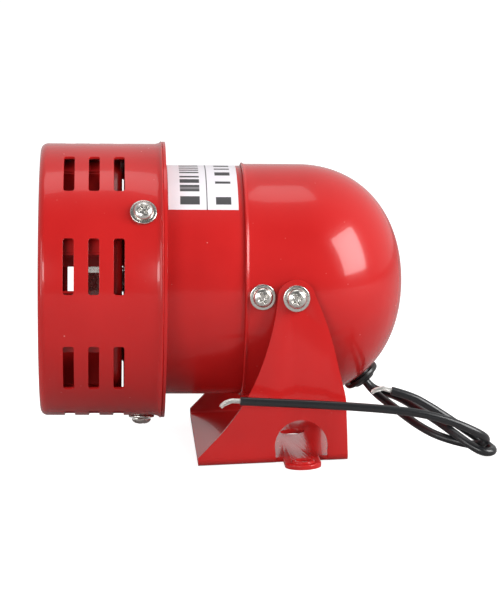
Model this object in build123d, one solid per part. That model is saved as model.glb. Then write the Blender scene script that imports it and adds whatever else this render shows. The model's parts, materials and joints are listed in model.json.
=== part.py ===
from build123d import *
import math
import os

# A small electric motor siren.  Millimetres, +Z up, base plate on Z = 0.  The origin is the centre of
# the base plate's middle hole, on its underside, straight below the tilt pivot.  The horn drum points
# to -X and its leads leave the dome at +X.  Everything that tilts is drawn in the siren's own frame,
# with its axis along X and the pivot at the origin, and then set at the rest tilt.

# ---- driving dimensions ----
pivot_height = 52.0
rest_tilt = 2.6

drum_radius = 44.0
drum_front = -79.9
drum_rear = -41.4
drum_sheet = 0.9
drum_corner = 2.2
rim_flare = 0.9
rim_length = 1.8
intake_radius = 26.0
intake_lip = 2.4

slot_columns = (-70.5, -62.67, -54.85)
slot_width = 3.35
slot_arc = 23.0
slot_corner = 0.8
slot_rows = 8
slot_phase = 13.3

neck_radius = 37.1
neck_sheet = 0.8
neck_front = -49.5
joggle_start = -15.9
joggle_end = -14.2
joggle_depth = 0.7
neck_rear = -5.5

shell_radius = 37.7
shell_sheet = 0.85
shell_mouth = -15.3
shell_flare = 0.5
shell_flare_length = 1.0
dome_start = 3.0
dome_end = 37.0
dome_fullness = 0.6

pan_sheet = 0.9
pan_flange_face = -41.0
pan_flange_radius = 44.7
pan_wall_gap = 0.05
ring_front = -41.2
ring_rear = -40.4
ring_fillet = 0.7
ring_gap = 0.05

cover_screw_x = -47.4
cover_screw_angles = (36.0, 156.0, 276.0)
shell_screw_x = -10.3
side_angles = (0.0, 180.0)

screw_radius = 1.95
screw_hole_radius = 2.15
nut_hole_radius = 2.0
head_radius = 3.1
head_height = 2.2
washer_radius = 4.15
washer_thickness = 0.8
nut_flats = 7.0
nut_height = 2.4

leg_outer = 40.5
bracket_sheet = 1.5
bend_radius = 2.5
base_front = -32.4
base_rear = 14.5
tab_radius = 5.8
leg_hole_radius = 8.3
leg_hole_height = 5.2
ear_width = 11.3
ear_centre = 45.5
ear_hole_radius = 2.3
ear_collar_radius = 3.6
ear_collar_height = 0.45
base_hole_radius = 4.0

lead_diameter = 2.65
strand_diameter = 1.5
running_gap = 0.04

grommet_x = 24.0
grommet_radius = 6.25
grommet_neck_radius = 4.4
grommet_back_radius = 5.8
grommet_stand = 0.55
grommet_rim = 1.7
grommet_nose = 0.9
grommet_nose_radius = 3.6
grommet_neck_depth = 3.0
grommet_back = 1.6
dome_power = 2.15
lead_spread = 1.5
lead_straight = 3.6
strand_run = 7.0

label_front = -39.5
label_rear = -17.5
label_start = 44.2
label_end = 135.8
label_thickness = 0.12

impeller_front = -76.5
impeller_back = -53.9
impeller_radius = 40.6
impeller_sheet = 0.8
port_front = -74.0
port_rear = -57.3
port_count = 8
port_phase = -2.5
port_arc = 22.5
vane_inner = 23.0
shaft_radius = 4.0
thread_radius = 3.0
shaft_front = -67.3
shaft_step = 13.6
shaft_rear = 22.4
hub_radius = 6.5
hub_front = -60.0
spring_washer_thickness = 1.0
impeller_nut_height = 5.0
impeller_nut_flats = 10.0

stack_front = -30.0
stack_rear = -2.0
armature_radius = 16.9
armature_slots = 12
slot_floor = 9.0
end_turn = 5.5
commutator_front = 4.6
commutator_rear = 13.0
commutator_radius = 8.5
stator_radius = 32.0
yoke_inner = 26.0
stator_bore = 17.5
shoe_radius = 19.1
shoe_arc = 100.0
pole_width = 14.0
coil_width = 4.8
coil_bottom = 19.4
coil_top = 22.4
bolt_circle = 29.0
bolt_radius = 1.6
bolt_clearance = 1.75
post_radius = 2.9
bracket_radius = 33.5
front_plate = (-48.7, -44.7)
front_boss_end = -38.2
front_bearing_span = (-46.7, -39.7)
front_bearing_radius = 11.0
rear_plate = (13.6, 16.6)
rear_boss_end = 21.8
rear_bearing_span = (15.6, 21.6)
rear_bearing_radius = 9.5
rear_plate_radius = 31.8
motor_screw_circle = 24.0
motor_screw_angles = (45.0, 135.0, 225.0, 315.0)
brush_x = 10.3
brush_size = 5.0
holder_size = 6.6
holder_outer = 25.0


# ---- helpers ----
def rod(start, end, radius):
    """A solid cylinder along X from start to end."""
    return Pos((start + end) / 2, 0, 0) * Rot(0, 90, 0) * Cylinder(radius, end - start)


def tube(start, end, outer, inner):
    """A hollow cylinder along X from start to end."""
    return rod(start, end, outer) - rod(start - 1, end + 1, inner)


def turned(points):
    """A solid of revolution about X from a closed outline of (x, radius) points."""
    outline = Polyline(*points, close=True)
    return revolve(Plane.XZ * make_face(outline), Axis.X, 360)


def outward(angle, height=0.0, x=0.0):
    """The place at height above the siren axis, local +Z pointing out; angle 0 is -Y, 90 is up."""
    return Pos(x, 0, 0) * Rot(90 - angle, 0, 0) * Pos(0, 0, height)


def sector(x_start, x_end, inner, outer, angle_start, angle_end):
    """A piece of a ring about X between two angles, measured from -Y towards +Z."""
    flat = Pos((x_start + x_end) / 2, (inner + outer) / 2) * Rectangle(x_end - x_start, outer - inner)
    swept = revolve(Plane.XZ * flat, Axis.X, angle_end - angle_start)
    return Rot(90 - angle_end, 0, 0) * swept


def rounded_sector(x_start, x_end, inner, outer, angle_start, angle_end, corner):
    """A ring sector whose four radial edges are rounded."""
    block = sector(x_start, x_end, inner, outer, angle_start, angle_end)
    radial = [edge for edge in block.edges().filter_by(GeomType.LINE) if abs(edge.tangent_at(0).X) < 0.5]
    return fillet(radial, corner)


def hexagon(flats, height, hole):
    """A hexagon nut with its underside on local Z = 0."""
    body = extrude(RegularPolygon(flats / 2, 6, major_radius=False), height)
    return body - Pos(0, 0, height / 2) * Cylinder(hole, height + 1)


def washer(radius, thickness, hole):
    """A flat washer with its underside on local Z = 0."""
    ring = Pos(0, 0, thickness / 2) * (Cylinder(radius, thickness) - Cylinder(hole, thickness + 1))
    top_edges = ring.edges().filter_by(GeomType.CIRCLE).group_by(Axis.Z)[-1]
    return fillet(top_edges, thickness * 0.3)


def pan_screw(shank_length, radius=screw_radius, head=head_radius, height=head_height):
    """A cross-recess pan-head screw: shank below local Z = 0, head above it."""
    shank = Pos(0, 0, -shank_length / 2) * Cylinder(radius, shank_length)
    cap = Pos(0, 0, height / 2) * Cylinder(head, height)
    cap = fillet(cap.edges().filter_by(GeomType.CIRCLE).group_by(Axis.Z)[-1], height * 0.6)
    recess_depth = height * 0.62
    bar = Pos(0, 0, height) * Box(head * 1.05, head * 0.26, recess_depth * 2)
    dimple = Pos(0, 0, height - recess_depth / 2) * Cone(0.1, head * 0.33, recess_depth)
    return shank + cap - bar - Rot(0, 0, 90) * bar - dimple


def at_rest(piece):
    """Set a piece from the siren's own frame at the rest tilt on the pivot."""
    return Pos(0, 0, pivot_height) * Rot(0, rest_tilt, 0) * piece


def save(name, piece):
    """Write one node as parts/NAME.step."""
    solids = [solid for solid in piece.solids()]
    shape = solids[0] if len(solids) == 1 else Compound(children=solids)
    export_step(shape, f"parts/{name}.step")


# ---- mounting bracket ----
def leg_outline():
    """The side outline of the bracket in X and Z, with the rounded tab about the pivot."""
    tab_centre = pivot_height
    front_edge = Spline(
        (-tab_radius, tab_centre),
        (-8.9, 38.2),
        (-16.0, 21.8),
        (-21.0, 14.6),
        (-27.8, 7.2),
        (base_front, 2.8),
        tangents=((-0.12, -1), (-1, -0.95)),
    )
    foot = Polyline((base_front, 2.8), (base_front, 0), (base_rear, 0), (base_rear, 18.0))
    rear_edge = Spline(
        (base_rear, 18.0),
        (13.5, 24.6),
        (10.3, 39.6),
        (tab_radius * 0.985, tab_centre + 1.0),
        tangents=((0, 1), (-0.42, 1)),
    )
    tab = ThreePointArc(
        (tab_radius * 0.985, tab_centre + 1.0), (0, tab_centre + tab_radius), (-tab_radius, tab_centre)
    )
    return make_face([front_edge, foot, rear_edge, tab])


def mounting_ear():
    """One flat ear turned out of the leg, lying in the base plate's plane, with a burred hole."""
    straight = ear_centre - leg_outer + 2 * bend_radius
    plate = Pos(0, -ear_centre + straight / 2, 0) * Rectangle(ear_width, straight)
    flat = plate + Pos(0, -ear_centre) * Circle(ear_width / 2)
    ear = extrude(flat, bracket_sheet)
    collar = Pos(0, -ear_centre, bracket_sheet) * Cylinder(
        ear_collar_radius, ear_collar_height, align=(Align.CENTER, Align.CENTER, Align.MIN)
    )
    collar = fillet(collar.edges().filter_by(GeomType.CIRCLE).group_by(Axis.Z)[-1], ear_collar_height * 0.8)
    ear = fillet(ear.edges().group_by(Axis.Z)[-1].filter_by(GeomType.CIRCLE), 0.4)
    return ear + collar - Pos(0, -ear_centre, 0) * Cylinder(ear_hole_radius, 10)


def make_u_bracket():
    """The bent sheet U: base plate, two shaped legs, arched leg holes and two ears."""
    width = base_rear - base_front
    outer = Pos(0, 50) * Rectangle(2 * leg_outer, 100)
    outer = fillet(outer.vertices().group_by(Axis.Y)[0], bend_radius)
    inner = Pos(0, 50 + bracket_sheet) * Rectangle(2 * (leg_outer - bracket_sheet), 100)
    inner = fillet(inner.vertices().group_by(Axis.Y)[0], bend_radius - bracket_sheet)
    section = Plane.YZ * (outer - inner)
    folded = Pos(base_front, 0, 0) * extrude(section, width)
    prism = extrude(Plane.XZ * leg_outline(), 60, both=True)
    bracket = folded & prism
    arch = Pos(0, 0, leg_hole_height) * Rot(90, 0, 0) * Cylinder(leg_hole_radius, 200)
    notch = Pos(0, 0, leg_hole_height / 2 - 1) * Box(2 * leg_hole_radius - 0.3, 200, leg_hole_height + 2)
    middle = Box(60, 2 * (leg_outer - bend_radius), 60)
    bracket = bracket - ((arch + notch) - middle)
    for side in (0, 180):
        bracket = bracket + Rot(0, 0, side) * mounting_ear()
    pivot_bore = Pos(0, 0, pivot_height) * Rot(90, 0, 0) * Cylinder(screw_radius + 2 * running_gap, 200)
    return bracket - pivot_bore - Cylinder(base_hole_radius, 10)


# ---- horn drum and motor casing ----
def make_front_cover():
    """The drum: slotted wall, flat front with a turned-in intake, flared rear rim."""
    r_in = drum_radius - drum_sheet
    shell = turned(
        [
            (drum_front, intake_radius),
            (drum_front, drum_radius),
            (drum_rear - rim_length, drum_radius),
            (drum_rear - rim_length * 0.4, drum_radius + rim_flare * 0.35),
            (drum_rear, drum_radius + rim_flare),
            (drum_rear, r_in + rim_flare),
            (drum_rear - rim_length * 0.4, r_in + rim_flare * 0.35),
            (drum_rear - rim_length, r_in),
            (drum_front + drum_sheet, r_in),
            (drum_front + drum_sheet, intake_radius + drum_sheet),
            (drum_front + intake_lip, intake_radius + drum_sheet),
            (drum_front + intake_lip, intake_radius),
        ]
    )
    front_circles = [
        edge
        for edge in shell.edges().filter_by(GeomType.CIRCLE)
        if abs(edge.center().X - drum_front) < 0.01
    ]
    shell = fillet(front_circles, drum_corner * 0.99)
    for column in slot_columns:
        for row in range(slot_rows):
            middle = slot_phase + row * 360 / slot_rows
            shell -= rounded_sector(
                column - slot_width / 2,
                column + slot_width / 2,
                drum_radius - 4,
                drum_radius + 3,
                middle - slot_arc / 2,
                middle + slot_arc / 2,
                slot_corner,
            )
    for angle in cover_screw_angles:
        shell -= outward(angle, drum_radius, cover_screw_x) * Cylinder(screw_hole_radius, 10)
    return shell


def make_rear_pan():
    """The partition pan behind the impeller, whose wall carries the drum and whose flange shows."""
    wall = drum_radius - drum_sheet - pan_wall_gap
    front = neck_front - pan_sheet
    pan = turned(
        [
            (front, 8.0),
            (front, wall),
            (pan_flange_face, wall),
            (pan_flange_face, pan_flange_radius),
            (pan_flange_face + pan_sheet, pan_flange_radius),
            (pan_flange_face + pan_sheet, wall - pan_sheet),
            (neck_front, wall - pan_sheet),
            (neck_front, 8.0),
        ]
    )
    rounds = [
        edge
        for edge in pan.edges().filter_by(GeomType.CIRCLE)
        if abs(edge.center().X - front) < 0.01 and abs(edge.radius - wall) < 0.01
    ]
    pan = fillet(rounds, pan_sheet * 0.8)
    for angle in cover_screw_angles:
        pan -= outward(angle, wall, cover_screw_x) * Cylinder(nut_hole_radius, 6)
    return pan - motor_screw_holes(screw_hole_radius)


def make_closing_ring():
    """The flat ring that closes the pan round the neck, with a small hollow fillet at its inner edge."""
    inner = neck_radius + ring_gap
    outer = drum_radius - drum_sheet - pan_wall_gap - pan_sheet - ring_gap
    centre_x = ring_rear + ring_fillet
    centre_r = inner + ring_fillet + 0.15
    steps = 5
    hollow = []
    for step in range(steps + 1):
        turn = math.radians(180 + 90 * step / steps)
        hollow.append((centre_x + ring_fillet * math.cos(turn), centre_r + ring_fillet * math.sin(turn)))
    return turned([(ring_front, outer), (ring_rear, outer)] + hollow + [(centre_x, inner), (ring_front, inner)])


def make_motor_housing():
    """The neck: a deep cup, stepped down at the rear where the dome slides over it."""
    r_in = neck_radius - neck_sheet
    step = neck_radius - joggle_depth
    housing = turned(
        [
            (neck_front, 9.0),
            (neck_front, neck_radius),
            (joggle_start, neck_radius),
            (joggle_end, step),
            (neck_rear, step),
            (neck_rear, step - neck_sheet),
            (joggle_end, step - neck_sheet),
            (joggle_start, r_in),
            (neck_front + neck_sheet, r_in),
            (neck_front + neck_sheet, 9.0),
        ]
    )
    for angle in side_angles:
        housing -= outward(angle, neck_radius, shell_screw_x) * Cylinder(screw_hole_radius, 6)
    return housing - motor_screw_holes(screw_hole_radius)


def dome_face(radius, end):
    """Half section of a full dome: straight wall from the mouth, then a full-bodied curve to the axis."""
    reach = end - dome_start
    wall = Line((shell_mouth + shell_flare_length, radius), (dome_start, radius))
    curve = Bezier(
        (dome_start, radius),
        (dome_start + reach * dome_fullness, radius),
        (end, radius * dome_fullness),
        (end, 0),
    )
    back = Line((end, 0), (shell_mouth + shell_flare_length, 0))
    front = Line((shell_mouth + shell_flare_length, 0), (shell_mouth + shell_flare_length, radius))
    return make_face([wall, curve, back, front])


def make_rear_shell():
    """The drawn dome that closes the motor casing, with a flared mouth."""
    outer = revolve(Plane.XZ * dome_face(shell_radius, dome_end), Axis.X, 360)
    inner = revolve(
        Plane.XZ * dome_face(shell_radius - shell_sheet, dome_end - shell_sheet), Axis.X, 360
    )
    mouth = turned(
        [
            (shell_mouth, shell_radius + shell_flare),
            (shell_mouth + shell_flare_length * 0.4, shell_radius + shell_flare * 0.55),
            (shell_mouth + shell_flare_length, shell_radius),
            (shell_mouth + shell_flare_length, shell_radius - shell_sheet),
            (shell_mouth + shell_flare_length * 0.4, shell_radius - shell_sheet + shell_flare * 0.55),
            (shell_mouth, shell_radius - shell_sheet + shell_flare),
        ]
    )
    shell = (outer - inner) + mouth
    for angle in side_angles:
        for x in (shell_screw_x, 0.0):
            shell -= outward(angle, shell_radius, x) * Cylinder(screw_hole_radius, 8)
    return shell - grommet_place * Cylinder(grommet_neck_radius + 0.1, 12)


# ---- grommet and leads ----
grommet_share = (grommet_x - dome_start) / (dome_end - dome_start)
grommet_height = shell_radius * (1 - grommet_share**dome_power) ** (1 / dome_power)
slope_x = grommet_share ** (dome_power - 1) / (dome_end - dome_start)
slope_z = (grommet_height / shell_radius) ** (dome_power - 1) / shell_radius
grommet_angle = math.degrees(math.atan2(slope_x, slope_z))
# local +Z of this place points out of the dome, down and to the rear, with local Z = 0 on the paint
grommet_place = Pos(grommet_x, 0, -grommet_height) * Rot(0, 180 - grommet_angle, 0)


def make_cable_grommet():
    """A rubber grommet clipped in the dome's hole, with a short nose round the two leads."""
    standing = (Align.CENTER, Align.CENTER, Align.MIN)
    rim = Pos(0, 0, grommet_stand) * Cylinder(grommet_radius, grommet_rim, align=standing)
    rim = fillet(rim.edges().filter_by(GeomType.CIRCLE).group_by(Axis.Z)[-1], grommet_rim * 0.7)
    neck_length = grommet_neck_depth + grommet_stand + 0.25
    neck = Pos(0, 0, -grommet_neck_depth) * Cylinder(grommet_neck_radius, neck_length, align=standing)
    back_end = grommet_neck_depth + 0.6
    back = Pos(0, 0, -back_end) * Cylinder(grommet_back_radius, grommet_back, align=standing)
    nose = Pos(0, 0, grommet_stand + grommet_rim) * Cone(
        grommet_nose_radius + 0.7, grommet_nose_radius, grommet_nose, align=standing
    )
    return grommet_place * (rim + neck + back + nose)


def tube_path(points, share=0.45):
    """Straight runs joined by tangent arcs as large as their runs allow; also returns the arc radii."""
    corners = [Vector(*point) for point in points]
    radii = []
    for before, here, after in zip(corners, corners[1:], corners[2:]):
        turn = (here - before).get_angle(after - here)
        shorter = min((here - before).length, (after - here).length)
        radii.append(share * shorter / math.tan(math.radians(turn / 2)))
    return FilletPolyline(*corners, radius=radii), radii


def tube_along(points, diameter):
    """A round tube swept along a route of runs and arcs."""
    path, radii = tube_path(points)
    disc = Plane(path @ 0, z_dir=path % 0) * Circle(diameter / 2)
    solid = sweep(disc, path)
    return solid, path, radii


def exit_point(across):
    """Where a lead leaves the grommet's nose, in the object's own frame, and the way it points."""
    local = Vector(0, across, grommet_stand + grommet_rim + grommet_nose)
    place = Pos(0, 0, pivot_height) * Rot(0, rest_tilt, 0) * grommet_place
    start = place * Pos(*local)
    ahead = place * Pos(*(local + Vector(0, 0, 1)))
    return start.position, ahead.position - start.position


# Routes of the two free leads.  Both come down from the grommet towards the surface, pass round the
# near side and turn back on themselves: the long one returns in front of the bracket's near leg.
long_lead_route = [
    (28.8, -6.2, 12.9),
    (31.8, -13.8, 11.4),
    (34.8, -21.4, 9.6),
    (38.2, -28.2, 7.7),
    (42.2, -33.6, 5.9),
    (46.5, -37.2, 4.7),
    (50.9, -39.6, 3.7),
    (54.6, -41.1, 3.2),
    (57.1, -43.0, 4.2),
    (57.5, -45.7, 6.0),
    (55.6, -48.4, 8.0),
    (51.2, -49.9, 10.6),
    (45.6, -50.4, 13.2),
    (38.6, -50.8, 15.6),
    (30.0, -50.9, 17.4),
    (15.3, -50.5, 19.2),
    (-0.7, -50.0, 20.7),
    (-19.0, -49.3, 22.2),
]
short_lead_route = [
    (30.4, -1.0, 13.6),
    (34.0, -7.2, 13.2),
    (37.2, -15.2, 12.3),
    (40.6, -24.2, 11.0),
    (44.2, -32.6, 9.4),
    (47.9, -39.0, 7.2),
    (51.2, -43.0, 5.0),
    (53.8, -45.2, 3.2),
    (56.5, -46.4, 2.0),
    (59.0, -45.4, 1.75),
    (60.0, -42.8, 1.9),
    (58.9, -40.1, 2.6),
    (55.9, -37.9, 4.7),
    (51.2, -37.3, 8.1),
    (45.5, -37.5, 12.3),
    (40.6, -37.9, 15.8),
    (35.0, -38.2, 19.3),
    (28.9, -38.1, 21.2),
]


def lead_points(route, across):
    """The whole route of one lead, starting straight out of the grommet's nose."""
    start, direction = exit_point(across)
    first = start + direction * lead_straight
    return [tuple(start), tuple(first)] + route


def make_leads():
    """The two insulated leads and their bare, twisted ends; prints each lead's arcs and length."""
    made = {}
    for name, route, across in (
        ("long_lead", long_lead_route, -lead_spread),
        ("short_lead", short_lead_route, lead_spread),
    ):
        solid, path, radii = tube_along(lead_points(route, across), lead_diameter)
        area = math.pi * lead_diameter**2 / 4
        print(name, "radii", [round(radius, 1) for radius in radii])
        print(name, "length", round(path.length, 1), "volume", round(solid.volume / area / path.length, 4))
        made[name] = solid
        tip = path @ 1
        ahead = path % 1
        bend = tip + ahead * strand_run * 0.5
        droop = bend + (ahead + Vector(0, 0, -0.75)).normalized() * strand_run * 0.5
        strand, _, _ = tube_along([tuple(tip), tuple(bend), tuple(droop)], strand_diameter)
        made[name + "_strands"] = strand
    return made


# ---- fasteners ----
def at_cover_screws(piece, height):
    """Copies of a piece at the three drum screws, height above the siren axis."""
    return [outward(angle, height, cover_screw_x) * piece for angle in cover_screw_angles]


def at_sides(piece, height, x):
    """Copies of a piece on the near and far side, height from the siren axis."""
    return [outward(angle, height, x) * piece for angle in side_angles]


def group(pieces):
    """Several separate solids as one node."""
    return Compound(children=[solid for piece in pieces for solid in piece.solids()])


def make_fasteners():
    """Screws, washers and nuts of the drum, the casing and the pivot; the drum's screws tap the pan."""
    flat = washer(washer_radius, washer_thickness, screw_hole_radius)
    nut = hexagon(nut_flats, nut_height, nut_hole_radius)
    spacer_thickness = leg_outer - bracket_sheet - shell_radius - running_gap
    head_base = leg_outer + running_gap + washer_thickness
    casing_wall = neck_radius - joggle_depth - neck_sheet
    shell_inside = shell_radius - shell_sheet
    nut_seat = 0.3
    return {
        "cover_washers": group(at_cover_screws(flat, drum_radius)),
        "cover_screws": group(at_cover_screws(pan_screw(5.4), drum_radius + washer_thickness)),
        "casing_washers": group(at_sides(flat_small(), shell_radius, shell_screw_x)),
        "casing_screws": group(at_sides(pan_screw(5.6), shell_radius + washer_thickness, shell_screw_x)),
        "casing_nuts": group(at_sides(nut, casing_wall - nut_seat - nut_height, shell_screw_x)),
        "pivot_washers": group(at_sides(flat, leg_outer + running_gap, 0)),
        "pivot_screws": group(at_sides(pan_screw(head_base - 33.0), head_base, 0)),
        "pivot_spacers": group(at_sides(washer(5.0, spacer_thickness, screw_hole_radius), shell_radius, 0)),
        "pivot_nuts": group(at_sides(nut, shell_inside - nut_seat - nut_height, 0)),
    }


def flat_small():
    """The washer under a casing screw, a little smaller so that it passes the bracket's tab."""
    return washer(washer_radius - 0.1, washer_thickness, screw_hole_radius)


# ---- label ----
def make_label():
    """The sticker wrapped over the top of the neck."""
    return sector(
        label_front, label_rear, neck_radius, neck_radius + label_thickness, label_start, label_end
    )


# ---- impeller and shaft ----
def make_impeller():
    """The chopper rotor: a drawn cup with eight ports whose metal is bent in as vanes."""
    cup = rod(impeller_front, impeller_back, impeller_radius)
    rear = [
        edge
        for edge in cup.edges().filter_by(GeomType.CIRCLE)
        if abs(edge.center().X - impeller_back) < 0.01
    ]
    cup = fillet(rear, 2.0)
    hollow = rod(impeller_front - 1, impeller_back - impeller_sheet, impeller_radius - impeller_sheet)
    deep = [
        edge
        for edge in hollow.edges().filter_by(GeomType.CIRCLE)
        if abs(edge.center().X - impeller_back + impeller_sheet) < 0.01
    ]
    cup = cup - fillet(deep, 1.3)
    vane_outer = impeller_radius - impeller_sheet * 0.5
    vane_size = (port_rear - port_front, impeller_sheet, vane_outer - vane_inner)
    for port in range(port_count):
        low = port_phase + port * 360 / port_count
        cup -= rounded_sector(
            port_front, port_rear, impeller_radius - 4, impeller_radius + 3, low, low + port_arc, 1.2
        )
    for port in range(port_count):
        hinge = port_phase + port_arc + port * 360 / port_count
        centre = outward(hinge, (vane_outer + vane_inner) / 2, (port_front + port_rear) / 2)
        cup += centre * Pos(0, -impeller_sheet / 2, 0) * Box(*vane_size)
    return cup - rod(impeller_back - 5, impeller_back + 5, thread_radius + 0.05)


def make_rotor():
    """Everything that spins: impeller, its clamping parts, shaft and armature."""
    hub = tube(hub_front, impeller_back - impeller_sheet, hub_radius, thread_radius + 0.05)
    nut_face = hub_front - spring_washer_thickness
    nut = Pos(nut_face - impeller_nut_height, 0, 0) * Rot(0, 90, 0) * hexagon(
        impeller_nut_flats, impeller_nut_height, thread_radius + 0.05
    )
    split = tube(nut_face, hub_front, 5.4, thread_radius + 0.05)
    split -= Pos((nut_face + hub_front) / 2, 0, 4) * Rot(25, 0, 0) * Box(3, 0.9, 5)
    shaft = rod(shaft_front, impeller_back, thread_radius)
    shaft += rod(impeller_back, shaft_step, shaft_radius)
    shaft += rod(shaft_step, shaft_rear, thread_radius)
    return {
        "impeller": make_impeller(),
        "impeller_hub": hub,
        "impeller_nut": nut,
        "spring_washer": split,
        "motor_shaft": shaft,
        "armature_core": make_armature_core(),
        "armature_windings": make_armature_windings(),
        "commutator": make_commutator(),
    }


# ---- motor ----
def motor_screw_holes(radius):
    """Four through holes in the partition for the motor's fixing screws."""
    holes = Part()
    for angle in motor_screw_angles:
        place = Rot(angle, 0, 0) * Pos(neck_front, 0, motor_screw_circle) * Rot(0, 90, 0)
        holes += place * Cylinder(radius, 8)
    return holes


def make_armature_core():
    """The laminated armature stack with its open winding slots."""
    core = tube(stack_front, stack_rear, armature_radius, shaft_radius)
    for slot in range(armature_slots):
        angle = slot * 360 / armature_slots
        middle = (stack_front + stack_rear) / 2
        length = stack_rear - stack_front + 2
        mouth = outward(angle, armature_radius, middle) * Box(length, 1.6, 4)
        room = outward(angle, (slot_floor + armature_radius) / 2 - 0.4, middle) * Box(length, 2.6, 5.4)
        core = core - mouth - room
    return core


def make_armature_windings():
    """Copper in the slots and the end turns at both ends of the stack, as one winding."""
    front = tube(stack_front - end_turn, stack_front - 0.05, 15.2, shaft_radius + 0.8)
    rear = tube(stack_rear + 0.05, stack_rear + end_turn, 15.2, shaft_radius + 0.8)
    windings = fillet(front.edges().filter_by(GeomType.CIRCLE).group_by(Axis.X)[0], 1.8)
    windings += fillet(rear.edges().filter_by(GeomType.CIRCLE).group_by(Axis.X)[-1], 1.8)
    middle = (stack_front + stack_rear) / 2
    for slot in range(armature_slots):
        angle = slot * 360 / armature_slots
        length = stack_rear - stack_front + 1
        windings += outward(angle, (slot_floor + armature_radius) / 2 - 0.4, middle) * Box(length, 2.4, 5.2)
    return windings


def make_commutator():
    """The commutator barrel with its segment gaps."""
    barrel = tube(commutator_front, commutator_rear, commutator_radius, shaft_radius)
    for gap in range(armature_slots):
        angle = (gap + 0.5) * 360 / armature_slots
        cut = outward(angle, commutator_radius, (commutator_front + commutator_rear) / 2)
        barrel -= cut * Box(commutator_rear - commutator_front + 2, 0.4, 1.4)
    return barrel


def make_stator_core():
    """The laminated stator: a yoke ring with an upper and a lower pole and bolt holes at the sides."""
    yoke = tube(stack_front, stack_rear, stator_radius, yoke_inner)
    middle = (stack_front + stack_rear) / 2
    length = stack_rear - stack_front
    pole_height = yoke_inner + 1 - stator_bore
    for angle in (90.0, 270.0):
        pole = outward(angle, stator_bore + pole_height / 2, middle) * Box(length, pole_width, pole_height)
        yoke += pole
        yoke += sector(
            stack_front, stack_rear, stator_bore, shoe_radius, angle - shoe_arc / 2, angle + shoe_arc / 2
        )
    yoke -= rod(stack_front - 1, stack_rear + 1, stator_bore)
    for angle in side_angles:
        yoke -= outward(angle, bolt_circle, middle) * Rot(0, 90, 0) * Cylinder(bolt_clearance, length + 2)
    return yoke


def make_field_coils():
    """A flat racetrack coil round each pole."""
    coils = []
    length = stack_rear - stack_front
    middle = (stack_front + stack_rear) / 2
    height = coil_top - coil_bottom
    outer = RectangleRounded(length + 2 * end_turn, pole_width + 2 * coil_width, 4.5)
    inner = RectangleRounded(length + 0.8, pole_width + 0.6, 0.3)
    for angle in (90.0, 270.0):
        coils.append(outward(angle, coil_bottom, middle) * extrude(outer - inner, height))
    return group(coils)


def end_bracket(plate, plate_radius, boss_end, boss_radius, bearing_span, bearing_radius, bore, posts_to):
    """A motor end frame: plate, bearing boss and two posts that reach the stator."""
    frame = rod(plate[0], plate[1], plate_radius) + rod(plate[0], boss_end, boss_radius)
    ends = sorted((plate[1] if posts_to > plate[1] else plate[0], posts_to))
    middle = (ends[0] + ends[1]) / 2
    for angle in side_angles:
        post = Rot(0, 90, 0) * Cylinder(post_radius, ends[1] - ends[0])
        frame += outward(angle, bolt_circle, middle) * post
    for angle in side_angles:
        hole = Rot(0, 90, 0) * Cylinder(bolt_clearance, ends[1] - ends[0] + 12)
        frame -= outward(angle, bolt_circle, middle) * hole
    frame -= rod(plate[0] - 10, boss_end + 10, bore)
    return frame - rod(bearing_span[0], bearing_span[1], bearing_radius)


def vented(frame, plate, angles):
    """The end frame with cooling windows between hub and rim."""
    for angle in angles:
        frame -= rounded_sector(plate[0] - 1, plate[1] + 1, 17.0, 28.0, angle - 19, angle + 19, 1.5)
    return frame


def make_front_end_frame():
    """The front bearing frame, screwed to the partition."""
    frame = end_bracket(
        front_plate,
        bracket_radius,
        front_boss_end,
        14.0,
        (front_bearing_span[0], front_boss_end + 1),
        front_bearing_radius,
        6.5,
        stack_front,
    )
    for angle in motor_screw_angles:
        hole = Rot(angle, 0, 0) * Pos(front_plate[0], 0, motor_screw_circle) * Rot(0, 90, 0)
        frame -= hole * Cylinder(nut_hole_radius, 20)
    return vented(frame, front_plate, (90.0, 270.0))


def make_rear_end_frame():
    """The rear bearing frame, which also carries the brush holders."""
    frame = end_bracket(
        rear_plate,
        rear_plate_radius,
        rear_boss_end,
        12.0,
        (rear_bearing_span[0], rear_boss_end + 1),
        rear_bearing_radius,
        5.0,
        stack_rear,
    )
    return vented(frame, rear_plate, (90.0, 270.0))


def bearing(span, outer, bore):
    """A sealed ball bearing as one ring, with a shield groove in each face."""
    ring = tube(span[0], span[1], outer, bore)
    middle = (outer + bore) / 2
    for face in span:
        ring -= tube(face - 0.4, face + 0.4, middle + 1.6, middle - 1.6)
    return ring


def make_brush_gear():
    """Two box brush holders with their carbons and coil springs."""
    holders = []
    brushes = []
    springs = []
    inner_end = commutator_radius + 1.6
    brush_end = 17.6
    cap = 1.0
    for angle in side_angles:
        box_height = holder_outer - inner_end
        box = Box(holder_size, holder_size, box_height, align=(Align.CENTER, Align.CENTER, Align.MIN))
        bore = Box(
            brush_size + 0.2,
            brush_size + 0.2,
            box_height - cap,
            align=(Align.CENTER, Align.CENTER, Align.MIN),
        )
        holders.append(outward(angle, inner_end, brush_x) * (box - bore))
        brush = Box(
            brush_size,
            brush_size,
            brush_end - commutator_radius - running_gap,
            align=(Align.CENTER, Align.CENTER, Align.MIN),
        )
        place = outward(angle, commutator_radius + running_gap, brush_x)
        brushes.append(place * brush)
        spring_height = holder_outer - cap - brush_end
        coil = Helix(pitch=spring_height / 5, height=spring_height - 1.0, radius=1.7)
        wire = sweep(Plane(coil @ 0, z_dir=coil % 0) * Circle(0.25), coil)
        springs.append(outward(angle, brush_end + 0.5, brush_x) * wire)
    return {
        "brush_holders": group(holders),
        "carbon_brushes": group(brushes),
        "brush_springs": group(springs),
    }


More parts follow.
